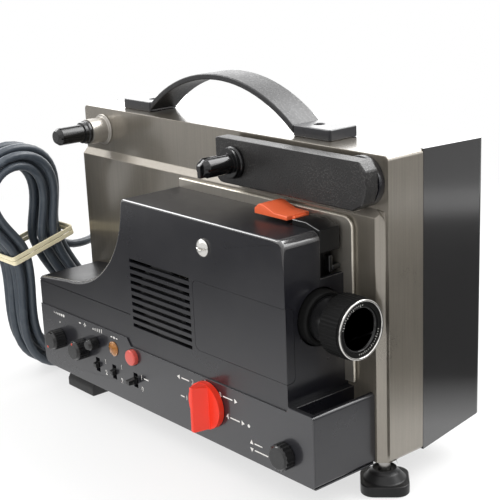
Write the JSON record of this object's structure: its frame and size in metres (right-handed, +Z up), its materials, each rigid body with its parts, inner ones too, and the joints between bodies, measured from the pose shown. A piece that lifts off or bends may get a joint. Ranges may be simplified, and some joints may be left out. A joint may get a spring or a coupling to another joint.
{
  "type": "sound movie projector",
  "caption": "Table-top sound movie projector with a folding supply arm, focusing lens, carrying strap, elevating foot and a mains cord wound in a hank.",
  "frame": {"origin": "centre of the standing projector's box, cord left out, on the floor under its feet", "axes": "+X along the beam to the lens, +Y from the controls to the back, +Z up"},
  "size_m": [0.3618, 0.2008, 0.233],
  "materials": {
    "case_paint": "satin metallic",
    "black_plastic": "satin",
    "gloss_black": "gloss",
    "grain_black": "grained",
    "red_plastic": "satin",
    "orange_lens": "gloss",
    "nickel": "bright",
    "deck_metal": "satin",
    "steel": "satin",
    "brass": "worn",
    "glass": "clear",
    "rubber": "matte",
    "cream_rubber": "matte",
    "board": "satin",
    "ceramic": "matte",
    "film_white": "satin"
  },
  "bodies": {
    "case": {"front_shell": "case_paint", "rear_cover": "black_plastic", "chassis_plate": "steel", "deck_plate": "deck_metal", "front_housing": "black_plastic", "control_panel": "black_plastic", "bottom_plate": "black_plastic", "housing_screw": "nickel", "handle_strap": "grain_black", "handle_blocks": "black_plastic", "handle_screws": "steel", "fixed_feet": "rubber", "foot_bush": "brass", "take_up_collar": "nickel", "arm_hub": "deck_metal", "lens_holder": "black_plastic", "gate_block": "gloss_black", "indicator_lamp": "orange_lens", "control_pots": "steel", "switch_bodies": "black_plastic", "speaker": "black_plastic", "amp_board": "board", "transformer": "steel", "motor": "steel", "drive_belt": "rubber", "lamp": "glass", "lamp_holder": "ceramic", "sound_head": "steel", "cover_screws": "steel", "cord_gland": "rubber", "cord_lead": "rubber", "cord_hank": "rubber", "cord_tail": "rubber", "cord_band": "cream_rubber", "mains_plug": "rubber"},
    "lamp_door": {"lamp_door": "black_plastic"},
    "foot_stud": {"foot_stud": "brass"},
    "foot_knob": {"foot_knob": "gloss_black"},
    "take_up_spindle": {"take_up_spindle": "gloss_black"},
    "supply_arm": {"supply_arm": "grain_black"},
    "supply_spindle": {"supply_spindle": "gloss_black", "reel_clip": "gloss_black"},
    "lens": {"lens_barrel": "gloss_black", "lens_glass": "glass"},
    "focus_ring": {"focus_ring": "gloss_black", "lens_rim": "nickel"},
    "threading_lever": {"threading_lever": "red_plastic"},
    "selector_knob": {"selector_knob": "red_plastic"},
    "volume_knob": {"volume_knob": "gloss_black"},
    "tone_knob": {"tone_knob": "gloss_black"},
    "trim_knob": {"trim_knob": "gloss_black"},
    "frame_knob": {"frame_knob": "gloss_black"},
    "record_button": {"record_button": "red_plastic"},
    "input_switch": {"input_switch": "gloss_black"},
    "track_switch": {"track_switch": "gloss_black"},
    "power_switch": {"power_switch": "gloss_black"},
    "motor_pulley": {"motor_pulley": "brass"},
    "shutter": {"shutter": "black_plastic"},
    "sprocket": {"sprocket": "film_white"},
    "capstan": {"capstan": "steel"}
  },
  "joints": [
    {"name": "arm_swing", "type": "hinge", "parent": "case", "child": "supply_arm", "pos_m": [0.12815, -0.0173, 0.186], "axis": [0, 1, 0], "range_deg": [0, 120]},
    {"name": "supply_spin", "type": "hinge", "parent": "supply_arm", "child": "supply_spindle", "pos_m": [0.03215, -0.0275, 0.186], "axis": [0, -1, 0], "continuous": true},
    {"name": "take_up_spin", "type": "hinge", "parent": "case", "child": "take_up_spindle", "pos_m": [-0.13185, -0.0275, 0.186], "axis": [0, -1, 0], "continuous": true},
    {"name": "focus", "type": "slide", "parent": "case", "child": "lens", "axis": [1, 0, 0], "range_m": [-0.003, 0.006]},
    {"name": "focus_turn", "type": "hinge", "parent": "lens", "child": "focus_ring", "pos_m": [0.10715, -0.0335, 0.1093], "axis": [1, 0, 0], "range_deg": [-40, 75]},
    {"name": "lever_press", "type": "hinge", "parent": "case", "child": "threading_lever", "pos_m": [0.10315, -0.0255, 0.1566], "axis": [0, -1, 0], "range_deg": [0, 2], "stiffness_Nm_per_rad": 0.8, "springref_deg": -5.73},
    {"name": "selector_turn", "type": "hinge", "parent": "case", "child": "selector_knob", "pos_m": [0.04415, -0.0655, 0.0425], "axis": [0, -1, 0], "range_deg": [-60, 60]},
    {"name": "volume_turn", "type": "hinge", "parent": "case", "child": "volume_knob", "pos_m": [-0.12485, -0.0655, 0.043], "axis": [0, -1, 0], "range_deg": [-150, 150]},
    {"name": "tone_turn", "type": "hinge", "parent": "case", "child": "tone_knob", "pos_m": [-0.09485, -0.0655, 0.043], "axis": [0, -1, 0], "range_deg": [-150, 150]},
    {"name": "trim_turn", "type": "hinge", "parent": "case", "child": "trim_knob", "pos_m": [-0.07885, -0.0655, 0.051], "axis": [0, -1, 0], "range_deg": [-150, 150]},
    {"name": "frame_turn", "type": "hinge", "parent": "case", "child": "frame_knob", "pos_m": [0.11375, -0.0655, 0.032], "axis": [0, -1, 0], "range_deg": [-45, 45]},
    {"name": "button_push", "type": "slide", "parent": "case", "child": "record_button", "axis": [0, 1, 0], "range_m": [0, 0.0025], "stiffness_N_per_m": 400, "springref_m": -0.0015},
    {"name": "input_slide", "type": "slide", "parent": "case", "child": "input_switch", "axis": [0, 0, 1], "range_m": [-0.0025, 0.0025]},
    {"name": "track_slide", "type": "slide", "parent": "case", "child": "track_switch", "axis": [0, 0, 1], "range_m": [-0.0025, 0.0025]},
    {"name": "power_slide", "type": "slide", "parent": "case", "child": "power_switch", "axis": [0, 0, 1], "range_m": [-0.0025, 0.0025]},
    {"name": "door_pull", "type": "slide", "parent": "case", "child": "lamp_door", "axis": [0, -1, 0], "range_m": [0, 0.04]},
    {"name": "foot_lift", "type": "slide", "parent": "case", "child": "foot_stud", "axis": [0, 0, -1], "range_m": [0, 0.006]},
    {"name": "foot_turn", "type": "hinge", "parent": "foot_stud", "child": "foot_knob", "pos_m": [0.13765, -0.0045, 0.006], "axis": [0, 0, -1], "range_deg": [0, 1440]},
    {"name": "motor_turn", "type": "hinge", "parent": "case", "child": "motor_pulley", "pos_m": [0.07315, 0.0445, 0.096], "axis": [1, 0, 0], "continuous": true},
    {"name": "shutter_turn", "type": "hinge", "parent": "case", "child": "shutter", "pos_m": [0.07315, -0.0355, 0.096], "axis": [1, 0, 0], "continuous": true},
    {"name": "sprocket_turn", "type": "hinge", "parent": "case", "child": "sprocket", "pos_m": [0.07715, -0.0335, 0.144], "axis": [0, 1, 0], "continuous": true},
    {"name": "capstan_turn", "type": "hinge", "parent": "case", "child": "capstan", "pos_m": [0.05015, 0.0225, 0.062], "axis": [0, 1, 0], "continuous": true}
  ],
  "couplings": [
    {"joint": "focus_turn", "follows": "focus", "rad_per_m": 209.44},
    {"joint": "foot_turn", "follows": "foot_lift", "rad_per_m": 4188.8},
    {"joint": "shutter_turn", "follows": "motor_turn", "ratio": 1},
    {"joint": "sprocket_turn", "follows": "motor_turn", "ratio": 0.0833},
    {"joint": "capstan_turn", "follows": "motor_turn", "ratio": 0.25}
  ]
}
